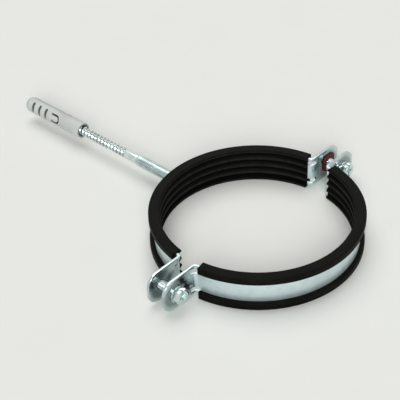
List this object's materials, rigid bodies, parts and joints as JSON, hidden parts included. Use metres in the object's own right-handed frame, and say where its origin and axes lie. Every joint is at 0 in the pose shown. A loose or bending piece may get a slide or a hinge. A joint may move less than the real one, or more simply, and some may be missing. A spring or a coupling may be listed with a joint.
{
  "type": "rubber lined pipe clamp",
  "caption": "Two-piece steel pipe clamp with a ribbed rubber lining, ears drawn together by clamp screws, a welded nut, a hanger bolt and a nylon wall plug.",
  "frame": {"origin": "centre of the pipe bore at half the width of the lining", "axes": "+Z along the pipe, -X along the hanger bolt towards the wall, Y across the two ears"},
  "size_m": [0.2964, 0.1898, 0.0252],
  "materials": {
    "zinc_steel": "bright zinc plating",
    "black_rubber": "matt extruded rubber",
    "red_fibre": "matt fibre",
    "grey_nylon": "moulded nylon"
  },
  "bodies": {
    "saddle": {"saddle_band": "zinc_steel", "saddle_lining": "black_rubber", "connection_nut": "zinc_steel", "retaining_washer": "red_fibre"},
    "cap": {"cap_band": "zinc_steel", "cap_lining": "black_rubber"},
    "near_screw": {"near_clamp_screw": "zinc_steel"},
    "far_screw": {"far_clamp_screw": "zinc_steel"},
    "bolt": {"hanger_bolt": "zinc_steel"},
    "plug": {"wall_plug": "grey_nylon"}
  },
  "joints": [
    {"name": "cap_slide", "type": "slide", "parent": "saddle", "child": "cap", "axis": [1, 0, 0], "range_m": [-0.007, 0.003]},
    {"name": "near_screw_turn", "type": "hinge", "parent": "cap", "child": "near_screw", "pos_m": [0.0125, -0.084, 0], "axis": [1, 0, 0], "range_deg": [-2521, 1081]},
    {"name": "far_screw_turn", "type": "hinge", "parent": "cap", "child": "far_screw", "pos_m": [0.0125, 0.084, 0], "axis": [1, 0, 0], "range_deg": [-2521, 1081]},
    {"name": "bolt_turn", "type": "hinge", "parent": "saddle", "child": "bolt", "pos_m": [-0.1, 0, 0], "axis": [1, 0, 0], "continuous": true},
    {"name": "plug_slide", "type": "slide", "parent": "bolt", "child": "plug", "axis": [-1, 0, 0], "range_m": [0, 0.016]}
  ],
  "couplings": [
    {"joint": "near_screw_turn", "follows": "cap_slide", "rad_per_m": 6283.2},
    {"joint": "far_screw_turn", "follows": "cap_slide", "rad_per_m": 6283.2}
  ]
}
